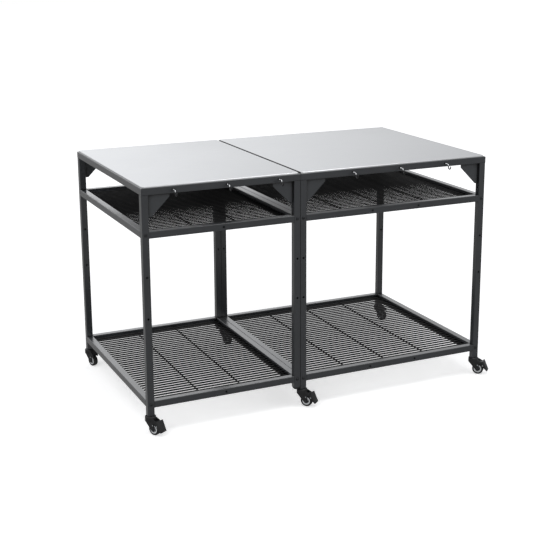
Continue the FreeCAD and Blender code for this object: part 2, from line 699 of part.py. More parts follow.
def shoe(half_width):
    """The brake shoe under the pedal's hub; a press by the brake's travel turns its edge onto the tyre.

    It leans back from the line between the pin and the axle, so that the turn brings it closer to the tyre.
    """
    apart = math.hypot(PIVOT_OUT - TRAIL, PIVOT_RISE)
    lean = math.radians(SHOE_LEAN)
    inward = math.sqrt((WHEEL_RADIUS + SHOE_GAP) ** 2 - (apart * math.sin(lean)) ** 2)
    reach = apart * math.cos(lean) - inward
    at_work = math.atan2(-PIVOT_RISE, TRAIL - PIVOT_OUT) + lean
    rest = at_work + math.radians(BRAKE_TRAVEL)
    nose = prism([
        (0, SHOE_ROOT / 2),
        (0, -SHOE_ROOT / 2),
        (reach, 0),
        (reach, SHOE_WIDTH),
    ], "y", -half_width, 2 * half_width)
    nose.rotate(Vector(0, 0, 0), BACK, -math.degrees(rest))
    return moved(nose, PIVOT_OUT, 0, PIVOT_Z)


def placed_caster(shape, x, y, trail_turn):
    """A caster's piece carried from the caster's own frame to its leg."""
    copy = shape.copy()
    copy.rotate(Vector(0, 0, 0), UP, -trail_turn)
    copy.translate(Vector(x, y, 0))
    return copy


def main():
    os.makedirs("parts", exist_ok=True)
    rods = {"left": (LEFT_ROD_PITCH, LEFT_INNER_RODS), "right": (RIGHT_ROD_PITCH, RIGHT_INNER_RODS)}
    right_hole = LEFT_WIDTH + RIGHT_RAIL_HOLE_START
    rail_holes = {
        "left": [LEFT_RAIL_HOLE],
        "right": [right_hole, right_hole + RIGHT_RAIL_HOLE_PITCH],
    }
    for module, (start, width) in MODULES.items():
        export(f"{module}_worktop", [worktop(start, width)])
        export(f"{module}_top_frame", top_frame(start, width))
        export(f"{module}_gussets", gussets(start, width))
        for shelf, z in SHELVES.items():
            export(f"{module}_{shelf}_shelf_frame", shelf_frame(start, width, z, rail_holes[module]))
            export(f"{module}_{shelf}_grille", grille(start, width, z, *rods[module]))
        hook = tool_hook()
        z = FRAME_TOP - TUBE / 2
        export(f"{module}_tool_hooks", [moved(hook, x, 0, z) for x in hook_places(start, width)])
    for node, post in legs().items():
        export(node, [post])

    bolts, inserts = shelf_fasteners()
    export("shelf_bolts", bolts)
    export("shelf_rail_inserts", inserts)
    export("module_bolts", joining_bolts())

    cap = end_cap()
    capped_x = LEFT_WIDTH - LEG_CENTRE
    cap_z = LEG_BOTTOM + CAP_HEIGHT
    export("leg_end_caps", [moved(cap, capped_x, y, cap_z) for y in (LEG_CENTRE, DEPTH - LEG_CENTRE)])
    socket = caster_socket()
    stem = caster_stem()
    export("caster_sockets", [moved(socket, x, y, LEG_BOTTOM) for x, y, _, _ in CASTERS.values()])
    export("caster_stems", [moved(stem, x, y, 0) for x, y, _, _ in CASTERS.values()])

    axle = moved(headed_pin(AXLE_DIAMETER, AXLE_HEAD_RADIUS), TRAIL, 0, WHEEL_RADIUS)
    pivot = moved(headed_pin(PIVOT_PIN_DIAMETER, PIVOT_PIN_DIAMETER), PIVOT_OUT, 0, PIVOT_Z)
    wheel_tyre = moved(tyre(), TRAIL, 0, WHEEL_RADIUS)
    wheel_hub = moved(hub(), TRAIL, 0, WHEEL_RADIUS)
    pedal = brake_pedal()
    forks = {True: fork(True), False: fork(False)}
    for name, (x, y, turn, braked) in CASTERS.items():
        pins = [axle, pivot] if braked else [axle]
        export(f"caster_{name}_fork", [placed_caster(forks[braked], x, y, turn)])
        export(f"caster_{name}_axle", [placed_caster(pin, x, y, turn) for pin in pins])
        export(f"caster_{name}_tyre", [placed_caster(wheel_tyre, x, y, turn)])
        export(f"caster_{name}_hub", [placed_caster(wheel_hub, x, y, turn)])
        if braked:
            export(f"caster_{name}_brake_pedal", [placed_caster(pedal, x, y, turn)])


main()
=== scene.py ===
import json
import logging
import math
from dataclasses import dataclass, field
from enum import Enum

import bmesh
import bpy
from mathutils import Matrix, Vector


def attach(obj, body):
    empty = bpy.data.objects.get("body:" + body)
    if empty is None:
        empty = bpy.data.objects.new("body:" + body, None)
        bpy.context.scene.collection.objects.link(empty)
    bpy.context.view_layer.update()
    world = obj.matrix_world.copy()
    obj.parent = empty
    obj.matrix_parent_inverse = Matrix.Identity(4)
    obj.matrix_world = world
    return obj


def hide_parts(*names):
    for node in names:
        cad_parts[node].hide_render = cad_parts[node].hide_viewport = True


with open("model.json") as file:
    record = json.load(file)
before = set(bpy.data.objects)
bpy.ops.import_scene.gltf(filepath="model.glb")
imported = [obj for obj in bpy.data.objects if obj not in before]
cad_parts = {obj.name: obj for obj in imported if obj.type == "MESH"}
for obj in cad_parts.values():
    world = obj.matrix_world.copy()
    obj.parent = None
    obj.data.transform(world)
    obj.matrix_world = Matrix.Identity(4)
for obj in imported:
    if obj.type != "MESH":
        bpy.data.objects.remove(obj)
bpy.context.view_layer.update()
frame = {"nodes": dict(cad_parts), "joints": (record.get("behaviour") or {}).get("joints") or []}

log = logging.getLogger("oven_table")

Mesh = bmesh.types.BMesh
Node = bpy.types.Node
Piece = bpy.types.Object
Socket = bpy.types.NodeSocket
Tree = bpy.types.NodeTree

# The table's sizes are in millimetres, and its meshes are brought to metres as they are placed
MM = 0.001
TO_METRES = Matrix.Scale(MM, 4)
ACROSS = Vector((1.0, 0.0, 0.0))
BACKWARD = Vector((0.0, 1.0, 0.0))
UP = Vector((0.0, 0.0, 1.0))

# The table in the row frame: the outer faces of the two modules, their front and back, and the tube
LEFT_FACE = -718.0
SEAM = -118.0
RIGHT_FACE = 682.0
FRONT_FACE = -382.0
BACK_FACE = 418.0
FRAME_TOP = 895.0
TUBE = 25.0


class Module(Enum):
    """The two frame modules, each with its left and right outer face."""

    LEFT = (LEFT_FACE, SEAM)
    RIGHT = (SEAM, RIGHT_FACE)

    @property
    def label(self) -> str:
        """The word that the node names start with."""
        return self.name.lower()

    @property
    def start(self) -> float:
        """The x of the left outer face."""
        return self.value[0]

    @property
    def end(self) -> float:
        """The x of the right outer face."""
        return self.value[1]

    @property
    def middle(self) -> float:
        """The x halfway between the outer faces."""
        return (self.start + self.end) / 2

    @property
    def width(self) -> float:
        """The distance between the outer faces."""
        return self.end - self.start


class Shelf(Enum):
    """The two shelf levels, by the height of their rails' middle."""

    UPPER = 730.0
    LOWER = 112.0


# Finishes

WHITE = "#ffffff"

# A Mix node's sockets go by place, because several share a name: the factor, two numbers and two colours
MIX_FACTOR = 0
MIX_NUMBERS = (2, 3)
MIX_COLOURS = (6, 7)


def linear(code: str) -> tuple[float, float, float, float]:
    """Turn an sRGB hex colour to the linear values that a shader takes.

    Args:
        code: a # and six hex digits.

    Returns:
        Red, green, blue and full opacity.
    """
    shares = [int(code[i:i + 2], 16) / 255 for i in (1, 3, 5)]
    red, green, blue = (s / 12.92 if s <= 0.04045 else ((s + 0.055) / 1.055) ** 2.4 for s in shares)
    return (red, green, blue, 1.0)


def grain(size_mm: float) -> float:
    """The noise scale at which features come out about this many millimetres wide."""
    return 1.0 / (size_mm * MM)


def add(tree: Tree, kind: str, settings: dict | None = None, links: dict | None = None) -> Node:
    """Add one shader node with its settings and links.

    Args:
        tree: the node tree.
        kind: the node's type, without the ShaderNode prefix.
        settings: values by input name or place or, where no input has that name, by attribute.
        links: output sockets by input name or place.

    Returns:
        The new node.
    """
    node = tree.nodes.new("ShaderNode" + kind)
    for key, value in (settings or {}).items():
        if isinstance(key, int) or key in node.inputs:
            node.inputs[key].default_value = value
        else:
            setattr(node, key, value)
    for key, socket in (links or {}).items():
        tree.links.new(socket, node.inputs[key])
    return node


@dataclass(frozen=True)
class Finish:
    """A surface: its plain name, its colours and how it takes the light.

    Each kind of finish adds its own pattern in dress().
    """

    name: str
    colour: str
    roughness: float = 0.5
    metallic: float = 0.0
    specular: float = 0.5

    def material(self) -> bpy.types.Material:
        """Give this finish's material, made on first use.

        Returns:
            The material.
        """
        made = bpy.data.materials.get(self.name)
        if made:
            return made
        made = bpy.data.materials.new(self.name)
        made.use_nodes = True
        made.diffuse_color = linear(self.colour)
        tree = made.node_tree
        tree.nodes.clear()
        place = add(tree, "TexCoord").outputs["Object"]
        shader = add(tree, "BsdfPrincipled", {
            "Base Color": linear(self.colour),
            "Roughness": self.roughness,
            "Metallic": self.metallic,
            "Specular IOR Level": self.specular,
        })
        self.dress(tree, place, shader)
        add(tree, "OutputMaterial", links={"Surface": shader.outputs["BSDF"]})
        return made

    def dress(self, tree: Tree, place: Socket, shader: Node) -> None:
        """Add the pattern of this finish. A plain finish has none.

        Args:
            tree: the material's node tree.
            place: object coordinates, in metres.
            shader: the principled shader.
        """

    def vary_colour(self, tree: Tree, pattern: Socket, shader: Node, other: str) -> None:
        """Blend the base colour towards another by a pattern.

        Args:
            tree: the material's node tree.
            pattern: 0 for this finish's colour, 1 for the other.
            shader: the principled shader.
            other: the other colour.
        """
        own, far = MIX_COLOURS
        blend = add(tree, "Mix", {"data_type": "RGBA", own: linear(self.colour), far: linear(other)},
                    {MIX_FACTOR: pattern})
        tree.links.new(blend.outputs[2], shader.inputs["Base Color"])

    def vary_roughness(self, tree: Tree, pattern: Socket, shader: Node, low: float, high: float) -> None:
        """Let a pattern between 0 and 1 set the roughness between two values."""
        spread = add(tree, "MapRange", {"To Min": low, "To Max": high}, {"Value": pattern})
        tree.links.new(spread.outputs["Result"], shader.inputs["Roughness"])

    def sink_colour(self, tree: Tree, clear: Socket, shader: Node, dark: str) -> None:
        """Take the linked base colour down to a dark one.

        Args:
            tree: the material's node tree.
            clear: the pattern, 0 where the surface is dark and 1 where it is as it was.
            shader: the principled shader, its base colour already linked.
            dark: the dark colour.
        """
        low, high = MIX_COLOURS
        painted = shader.inputs["Base Color"].links[0].from_socket
        sunk = add(tree, "Mix", {"data_type": "RGBA", low: linear(dark)}, {MIX_FACTOR: clear, high: painted})
        tree.links.new(sunk.outputs[2], shader.inputs["Base Color"])

    def off_seam(self, tree: Tree, place: Socket, half_mm: float, soft_mm: float) -> Socket:
        """The pattern that is 0 in the joint between the two modules and 1 away from it.

        Args:
            tree: the material's node tree.
            place: object coordinates, in metres.
            half_mm: how far the joint reaches to each side.
            soft_mm: the width over which it fades.

        Returns:
            The pattern's socket.
        """
        sides = add(tree, "SeparateXYZ", links={0: place})
        apart = add(tree, "Math", {"operation": "SUBTRACT", 1: SEAM * MM}, {0: sides.outputs["X"]})
        away = add(tree, "Math", {"operation": "ABSOLUTE"}, {0: apart.outputs[0]})
        fade = add(tree, "MapRange", {"From Min": half_mm * MM, "From Max": (half_mm + soft_mm) * MM},
                   {"Value": away.outputs[0]})
        return fade.outputs["Result"]


@dataclass(frozen=True)
class PowderCoat(Finish):
    """Polyester powder sprayed and baked on steel: a satin skin with fine orange peel and cloudy gloss.

    Shade is painted into the seams and corners between parts, in colour and gloss: painted shade where the
    parts around a point close off its view, and a painted shadow line in the gap between the two modules.
    The real gap is under a millimetre wide, and the line is drawn as wide as it needs to show.
    seam_shade_open gives the open share of the view from a point at which the painted shade is full and at
    which it is clear, for what lies within seam_shade_mm.
    """

    shade: str = "#26292c"
    cloud_mm: float = 120.0
    unevenness: float = 0.06
    peel_mm: float = 1.6
    peel_depth_mm: float = 0.2
    peel_strength: float = 0.12
    gloss: float = 0.0
    gloss_roughness: float = 0.25
    # Painted shade in seams and corners: how far round a point it looks, the open shares at which it is full
    # and clear, its colour and its rays
    seam_shade_mm: float = 0.0
    seam_shade_open: tuple[float, float] = (0.68, 0.82)
    seam_shade_colour: str = "#060607"
    seam_shade_rays: int = 6
    # Painted shadow line in the gap between the two modules: its half width and its fade
    gap_shade_mm: float = 0.7
    gap_shade_soft_mm: float = 0.6

    def dress(self, tree: Tree, place: Socket, shader: Node) -> None:
        """Add the clouds in colour and gloss, the gloss film, the painted shade in the seams and the orange
        peel.

        Args:
            tree: the material's node tree.
            place: object coordinates, in metres.
            shader: the principled shader.
        """
        clouds = add(tree, "TexNoise", {"Scale": grain(self.cloud_mm), "Detail": 3.0}, {"Vector": place})
        fac = clouds.outputs["Fac"]
        low, high = self.roughness - self.unevenness, self.roughness + self.unevenness
        self.vary_colour(tree, fac, shader, self.shade)
        self.vary_roughness(tree, fac, shader, low, high)
        shader.inputs["Coat Weight"].default_value = self.gloss
        shader.inputs["Coat Roughness"].default_value = self.gloss_roughness
        if self.seam_shade_mm:
            self.paint_seam_shade(tree, place, shader)
        peel = add(tree, "TexNoise", {"Scale": grain(self.peel_mm), "Detail": 1.0}, {"Vector": place})
        bump = add(tree, "Bump", {"Strength": self.peel_strength, "Distance": self.peel_depth_mm * MM},
                   {"Height": peel.outputs["Fac"]})
        tree.links.new(bump.outputs["Normal"], shader.inputs["Normal"])

    def paint_seam_shade(self, tree: Tree, place: Socket, shader: Node) -> None:
        """Paint shade where two parts meet, taking the colour and the gloss down.

        Args:
            tree: the material's node tree.
            place: object coordinates, in metres.
            shader: the principled shader, its base colour already linked.
        """
        closed, clear_of = self.seam_shade_open
        # Painted shade where the parts around a point close off its view
        sky = add(tree, "AmbientOcclusion", {"samples": self.seam_shade_rays, "Distance": self.seam_shade_mm * MM})
        corners = add(tree, "MapRange", {"From Min": closed, "From Max": clear_of},
                      {"Value": sky.outputs["AO"]})
        # A painted shadow line in the gap between the two modules
        joint = self.off_seam(tree, place, self.gap_shade_mm, self.gap_shade_soft_mm)
        clear = add(tree, "Math", {"operation": "MULTIPLY"}, {0: corners.outputs["Result"], 1: joint})
        self.sink_colour(tree, clear.outputs[0], shader, self.seam_shade_colour)
        # The gloss film is taken down with the colour, as part of the painted shade
        film = add(tree, "Math", {"operation": "MULTIPLY", 1: self.gloss}, {0: clear.outputs[0]})
        tree.links.new(film.outputs[0], shader.inputs["Coat Weight"])


@dataclass(frozen=True)
class BrushedStainless(Finish):
    """Belt-ground stainless sheet: long fine scratches along x, which draw the reflections out across it.

    The real scratches are some 0.05 mm wide. They are drawn 0.6 mm wide, so that they show.
    """

    shade: str = "#c4c5c6"
    scratch_mm: float = 0.6
    scratch_length_mm: float = 90.0
    scratch_depth_mm: float = 0.1
    scratch_strength: float = 0.1
    scratch_share: float = 0.6
    handling_mm: float = 180.0
    brighter: float = 0.08
    duller: float = 0.1
    # Painted shade in the gap between the two trays: how far it reaches from the joint, its fade and its
    # colour
    gap_shade_mm: float = 4.4
    gap_shade_soft_mm: float = 2.0
    gap_shade_colour: str = "#101112"

    def dress(self, tree: Tree, place: Socket, shader: Node) -> None:
        """Add the scratches, the faint patches that wiping leaves and the painted shade in the gap between
        the worktops.

        Args:
            tree: the material's node tree.
            place: object coordinates, in metres.
            shader: the principled shader.
        """
        width, length = grain(self.scratch_mm), grain(self.scratch_length_mm)
        stretch = add(tree, "Mapping", {"Scale": (length, width, width)}, {"Vector": place})
        lines = add(tree, "TexNoise", {"Scale": 1.0, "Detail": 3.0, "Roughness": 0.6},
                    {"Vector": stretch.outputs["Vector"]})
        patches = add(tree, "TexNoise", {"Scale": grain(self.handling_mm), "Detail": 2.0}, {"Vector": place})
        wiped = add(tree, "Math", {"operation": "MULTIPLY", 1: 1 - self.scratch_share},
                    {0: patches.outputs["Fac"]})
        both = add(tree, "Math", {"operation": "MULTIPLY_ADD", 1: self.scratch_share},
                   {0: lines.outputs["Fac"], 2: wiped.outputs[0]})
        low, high = self.roughness - self.brighter, self.roughness + self.duller
        self.vary_roughness(tree, both.outputs[0], shader, low, high)
        self.vary_colour(tree, lines.outputs["Fac"], shader, self.shade)
        # Painted shade in the gap between the worktops
        joint = self.off_seam(tree, place, self.gap_shade_mm, self.gap_shade_soft_mm)
        self.sink_colour(tree, joint, shader, self.gap_shade_colour)
        bump = add(tree, "Bump", {"Strength": self.scratch_strength, "Distance": self.scratch_depth_mm * MM},
                   {"Height": lines.outputs["Fac"]})
        tree.links.new(bump.outputs["Normal"], shader.inputs["Normal"])


@dataclass(frozen=True)
class PlatedSteel(Finish):
    """Plated or blackened steel: a thin even film with faint mottling in colour and gloss."""

    shade: str = "#9fa3a5"
    mottle_mm: float = 6.0
    unevenness: float = 0.3

    def dress(self, tree: Tree, place: Socket, shader: Node) -> None:
        """Add the mottling.

        Args:
            tree: the material's node tree.
            place: object coordinates, in metres.
            shader: the principled shader.
        """
        mottle = add(tree, "TexNoise", {"Scale": grain(self.mottle_mm), "Detail": 4.0}, {"Vector": place})
        fac = mottle.outputs["Fac"]
        low, high = self.roughness * (1 - self.unevenness), self.roughness * (1 + self.unevenness)
        self.vary_colour(tree, fac, shader, self.shade)
        self.vary_roughness(tree, fac, shader, low, high)


@dataclass(frozen=True)
class MouldedPlastic(Finish):
    """Injection-moulded plastic or rubber: an even colour with the fine grain of a spark-eroded mould.

    The real grain is some 0.1 mm wide. It is drawn five times as wide or more, so that it shows close up.
    """

    spark_mm: float = 0.5
    spark_depth_mm: float = 0.1
    spark_strength: float = 0.25
    drift_mm: float = 15.0
    unevenness: float = 0.07

    def dress(self, tree: Tree, place: Socket, shader: Node) -> None:
        """Add the mould's grain and a slow drift in gloss.

        Args:
            tree: the material's node tree.
            place: object coordinates, in metres.
            shader: the principled shader.
        """
        spark = add(tree, "TexNoise", {"Scale": grain(self.spark_mm), "Detail": 2.0}, {"Vector": place})
        bump = add(tree, "Bump", {"Strength": self.spark_strength, "Distance": self.spark_depth_mm * MM},
                   {"Height": spark.outputs["Fac"]})
        tree.links.new(bump.outputs["Normal"], shader.inputs["Normal"])
        drift = add(tree, "TexNoise", {"Scale": grain(self.drift_mm), "Detail": 2.0}, {"Vector": place})
        low, high = self.roughness - self.unevenness, self.roughness + self.unevenness
        self.vary_roughness(tree, drift.outputs["Fac"], shader, low, high)


# Powder coat on square steel tube: near black, with a soft sheen along the rails, painted shade in its
# corners and a painted shadow line in the gap between the modules
FRAME_PAINT = PowderCoat("frame_powder_coat", "#1c1e22", 0.32, gloss=1.0, seam_shade_mm=12.0)

# The same powder on laser-cut plate, a little paler than the tubes behind it, with painted shade along the
# edges that the rails and legs overhang
GUSSET_PAINT = PowderCoat("gusset_powder_coat", "#212428", 0.32, shade="#2b2e31", gloss=1.0, seam_shade_mm=25.0,
                          seam_shade_open=(0.74, 0.8))

# Powder coat on drawn wire, thin and without a gloss film: darker than the tubes' paint, which paints the
# shade the shelves lie in, with pale slits between wires
WIRE_PAINT = PowderCoat("wire_powder_coat", "#0c0c0d", 0.4, specular=0.25, shade="#121213")

# Austenitic stainless sheet, belt-ground: pale and silky, and it fades from bright to grey across the table
WORKTOP_STEEL = BrushedStainless("worktop_brushed_stainless", "#d9dadb", 0.34, metallic=1.0)

# Decorative chrome on polished steel wire: nearly a mirror, so that each hook is a bright glint
HOOK_CHROME = PlatedSteel("hook_chrome_plate", "#e2e3e4", 0.14, metallic=1.0, shade="#cfd1d3")

# Soft PVC that the hook was dipped in: black, thicker than the wire and with a broad dim shine
HOOK_VINYL = MouldedPlastic("hook_black_vinyl", "#161617", 0.38)

# Barrel zinc plate, blue passivated, on turned and pressed steel: silver grey and slightly clouded
ZINC_PLATE = PlatedSteel("zinc_plate", "#c3c6c8", 0.34, metallic=1.0)

# Oiled black oxide on high-tensile steel: dark with the metal's dull shine on its round edges
BLACK_OXIDE = PlatedSteel("bolt_black_oxide", "#2b2c2e", 0.42, metallic=0.7, shade="#3a3b3d")

# Glass-filled polyamide, injection moulded: black with a fine grain, and a soft light on each rounded edge
SHELL_NYLON = MouldedPlastic("caster_black_nylon", "#151516", 0.42)

# Synthetic rubber, compression moulded: the dullest and blackest surface, with next to no highlight
TYRE_RUBBER = MouldedPlastic("tyre_black_rubber", "#111112", 0.62, spark_mm=0.8, spark_strength=0.4,
                             drift_mm=24.0)

# Unfilled polyamide, injection moulded: a pale ring that shows the wheel's roundness from far off
HUB_NYLON = MouldedPlastic("hub_pale_nylon", "#d2d4d6", 0.4)

# Polyethylene, injection moulded: black and waxy, between the paint's sheen and the rubber's dullness
PLUG_PLASTIC = MouldedPlastic("plug_black_polyethylene", "#1b1b1c", 0.5)

# The finish of each CAD node by the end of its name. The frames and the legs have the frame's paint
NODE_FINISHES = {
    "_worktop": WORKTOP_STEEL,
    "_gussets": GUSSET_PAINT,
    "_grille": WIRE_PAINT,
    "_tool_hooks": HOOK_CHROME,
    "_tyre": TYRE_RUBBER,
    "_hub": HUB_NYLON,
    "_fork": SHELL_NYLON,
    "_brake_pedal": SHELL_NYLON,
    "_axle": ZINC_PLATE,
    "_stems": ZINC_PLATE,
    "_inserts": ZINC_PLATE,
    "_bolts": BLACK_OXIDE,
    "_end_caps": PLUG_PLASTIC,
    "_sockets": PLUG_PLASTIC,
}


def dress_nodes() -> None:
    """Give every carried-over CAD node its finish."""
    for name, node in frame["nodes"].items():
        finish = next((f for end, f in NODE_FINISHES.items() if name.endswith(end)), FRAME_PAINT)
        node.data.materials.clear()
        node.data.materials.append(finish.material())


# Mesh tools

CREASE = 32.0


def make_object(name: str, bm: Mesh, finish: Finish, crease: float = CREASE) -> Piece:
    """Turn a bmesh in metres into a finished object, smooth apart from its sharp edges.

    Args:
        name: the piece's name.
        bm: the mesh, which is freed.
        finish: the surface.
        crease: the angle in degrees past which an edge stays sharp.

    Returns:
        The object, at the origin.
    """
    bmesh.ops.recalc_face_normals(bm, faces=bm.faces[:])
    for face in bm.faces:
        face.smooth = True
    for edge in bm.edges:
        if len(edge.link_faces) == 2:
            edge.smooth = edge.calc_face_angle(0.0) < math.radians(crease)
    mesh = bpy.data.meshes.new(name)
    bm.to_mesh(mesh)
    bm.free()
    mesh.materials.append(finish.material())
    piece = bpy.data.objects.new(name, mesh)
    bpy.context.scene.collection.objects.link(piece)
    return piece


def round_edges(bm: Mesh, edges: list[bmesh.types.BMEdge], width: float, segments: int, clamp: bool) -> None:
    """Bevel edges round over a width in millimetres, clamped or not where two bevels would overlap."""
    bmesh.ops.bevel(bm, geom=edges, offset=width * MM, offset_type="OFFSET", segments=segments, profile=0.5,
                    affect="EDGES", clamp_overlap=clamp, material=-1)


def lathe(bm: Mesh, profile: list[tuple[float, float]], place: Matrix, steps: int = 48) -> None:
    """Spin an outline of radius and height about the z axis of a place.

    Args:
        bm: the mesh to add to.
        profile: radius and height pairs, in order. A ring's outline ends where it starts.
        place: the matrix from the outline's own frame, in millimetres, to metres.
        steps: sides round the full turn.
    """
    before = set(bm.verts)
    verts = [bm.verts.new((radius, 0.0, height)) for radius, height in profile]
    edges = [bm.edges.new(pair) for pair in zip(verts, verts[1:])]
    bmesh.ops.spin(bm, geom=verts + edges, cent=(0, 0, 0), axis=UP, angle=math.tau, steps=steps,
                   use_merge=True)
    turned = [v for v in bm.verts if v not in before]
    bmesh.ops.remove_doubles(bm, verts=turned, dist=0.001)
    bmesh.ops.transform(bm, matrix=place, verts=[v for v in turned if v.is_valid])


def soft_copy(node: str, name: str, finish: Finish, width: float) -> Piece:
    """Copy a CAD node's mesh and round its sharp edges, as a mould does.

    Args:
        node: the CAD node, which the copy replaces.
        name: the piece's name.
        finish: the surface.
        width: the rounding's width in millimetres.

    Returns:
        The piece.
    """
    weld, flat, sharp, crease = 0.002 * MM, math.radians(2.0), math.radians(38.0), 40.0
    bm = bmesh.new()
    bm.from_mesh(frame["nodes"][node].data)
    bmesh.ops.remove_doubles(bm, verts=bm.verts[:], dist=weld)
    bmesh.ops.dissolve_limit(bm, angle_limit=flat, verts=bm.verts[:], edges=bm.edges[:])
    corners = [e for e in bm.edges if len(e.link_faces) == 2 and e.calc_face_angle(0.0) > sharp]
    round_edges(bm, corners, width, segments=2, clamp=True)
    piece = make_object(name, bm, finish, crease)
    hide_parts(node)
    return piece


class WireBender:
    """Bends a round wire step by step, as a bending jig does: runs, turns and a tumbled tip at each end.

    END_RISE is the tip's height as a share of the wire's radius, and END_TAPER the shrink of the whole tip.
    """

    END_RISE = 0.35
    END_TAPER = 0.7

    def __init__(self, bm: Mesh, start: Vector, heading: Vector, radius: float, sides: int) -> None:
        """Cut the wire's first end.

        Args:
            bm: the mesh to add to, in metres.
            start: the first end's middle, in millimetres.
            heading: the direction in which the wire leaves.
            radius: the wire's radius in millimetres.
            sides: sides round the wire.
        """
        self.bm = bm
        self.at = start.copy()
        self.heading = heading.normalized()
        self.radius = radius
        turn = UP.rotation_difference(self.heading).to_matrix().to_4x4()
        place = TO_METRES @ Matrix.Translation(self.at) @ turn
        ring = bmesh.ops.create_circle(bm, segments=sides, radius=radius, cap_ends=False, matrix=place)
        self.ring = list(dict.fromkeys(e for v in ring["verts"] for e in v.link_edges))
        self.close(-1.0)

    def grow(self) -> tuple[list[bmesh.types.BMVert], list[bmesh.types.BMEdge]]:
        """Extrude the ring at the wire's present end, in place.

        Returns:
            The new ring's verts and edges.
        """
        grown = bmesh.ops.extrude_edge_only(self.bm, edges=self.ring)["geom"]
        verts = [g for g in grown if isinstance(g, bmesh.types.BMVert)]
        edges = [g for g in grown if isinstance(g, bmesh.types.BMEdge) and all(v in verts for v in g.verts)]
        return verts, edges

    def close(self, outward: float) -> None:
        """Cap the present end with a face a little smaller than the wire, as a sheared and tumbled end is.

        Args:
            outward: +1 where the wire ends ahead of the ring, -1 where it ends behind it.
        """
        verts, edges = self.grow()
        rise = self.heading * outward * self.radius * self.END_RISE
        middle = Matrix.Translation(-self.at * MM)
        bmesh.ops.translate(self.bm, vec=rise * MM, verts=verts)
        bmesh.ops.scale(self.bm, vec=(self.END_TAPER,) * 3, verts=verts, space=middle)
        bmesh.ops.contextual_create(self.bm, geom=edges)

    def run(self, length: float) -> "WireBender":
        """Draw the wire straight on.

        Args:
            length: in millimetres.

        Returns:
            The bender, so that steps can be chained.
        """
        verts, self.ring = self.grow()
        bmesh.ops.translate(self.bm, vec=self.heading * length * MM, verts=verts)
        self.at = self.at + self.heading * length
        return self

    def turn(self, radius: float, degrees: float, axis: Vector, steps: int) -> "WireBender":
        """Bend the wire round a post.

        Args:
            radius: from the post's middle to the wire's, in millimetres.
            degrees: the angle of the bend, by the right-hand rule about the axis.
            axis: the post's direction.
            steps: rings along the bend.

        Returns:
            The bender, so that steps can be chained.
        """
        angle = math.radians(degrees)
        side = axis.cross(self.heading).normalized()
        centre = self.at + side * math.copysign(radius, degrees)
        verts = list(dict.fromkeys(v for e in self.ring for v in e.verts))
        bent = bmesh.ops.spin(self.bm, geom=self.ring + verts, cent=centre * MM, axis=axis, angle=angle,
                              steps=steps, use_merge=False, use_duplicate=False)
        self.ring = [g for g in bent["geom_last"] if isinstance(g, bmesh.types.BMEdge)]
        turned = Matrix.Rotation(angle, 4, axis)
        self.at = centre + turned @ (self.at - centre)
        self.heading = (turned @ self.heading).normalized()
        return self


# Sub-assemblies


@dataclass
class Worktop:
    """A stainless tray upside down on a top frame, its edges rolled over a small radius."""

    module: Module
    inset: float = 4.0
    sheet: float = 1.5
    lip: float = 5.0
    plan_round: float = 10.0
    edge_round: float = 3.0

    def build(self) -> list[Piece]:
        """Fold and dress the tray.

        Returns:
            The tray, which replaces the CAD node.
        """
        bm = bmesh.new()
        width = self.module.width - 2 * self.inset
        depth = BACK_FACE - FRONT_FACE - 2 * self.inset
        centre = Vector((self.module.middle, (FRONT_FACE + BACK_FACE) / 2, FRAME_TOP + self.lip / 2))
        size = Matrix.Diagonal((width, depth, self.lip, 1.0))
        bmesh.ops.create_cube(bm, size=1.0, matrix=TO_METRES @ Matrix.Translation(centre) @ size)
        upright = [e for e in bm.edges if abs((e.verts[0].co - e.verts[1].co).z) > self.lip * MM / 2]
        round_edges(bm, upright, self.plan_round, segments=8, clamp=False)
        under = min(bm.faces, key=lambda f: f.calc_center_median().z)
        bmesh.ops.delete(bm, geom=[under], context="FACES_ONLY")
        top = max(bm.faces, key=lambda f: f.calc_center_median().z)
        round_edges(bm, list(top.edges), self.edge_round, segments=4, clamp=False)
        bmesh.ops.recalc_face_normals(bm, faces=bm.faces[:])
        lid = max(bm.faces, key=lambda f: f.calc_area())
        if lid.normal.z < 0:
            bmesh.ops.reverse_faces(bm, faces=bm.faces[:])
        bmesh.ops.solidify(bm, geom=bm.faces[:], thickness=self.sheet * MM)
        tray = make_object(f"{self.module.label}_worktop_tray", bm, WORKTOP_STEEL)
        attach(tray, "table")
        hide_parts(f"{self.module.label}_worktop")
        return [tray]


